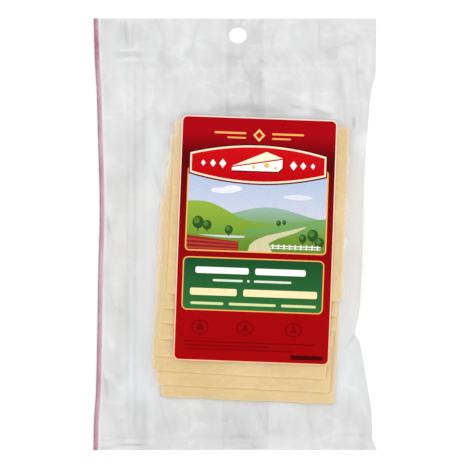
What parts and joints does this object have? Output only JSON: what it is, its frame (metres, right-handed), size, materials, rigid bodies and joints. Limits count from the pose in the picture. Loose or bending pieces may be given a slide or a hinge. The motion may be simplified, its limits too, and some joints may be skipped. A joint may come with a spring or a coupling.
{
  "type": "pack of sliced cheese",
  "caption": "Clear press-to-close bag laid on its back, holding a shingled stack of sliced cheese under a printed front label.",
  "frame": {"origin": "centre of the bounding box at the resting plane, under the bag's back", "axes": "+Z out of the shown side, +Y to the header with the hang hole, +X to the side away from the zip"},
  "size_m": [0.1524, 0.232, 0.0206],
  "materials": {
    "film": "clear, slightly hazy packing film",
    "zip": "milky press-to-close profile",
    "edge_strip": "pink-red band on the film's edge",
    "label": "glossy printed label"
  },
  "bodies": {
    "root": {"bag": "film", "zip": "zip", "edge_strip": "edge_strip", "front_label": "label"}
  },
  "joints": []
}
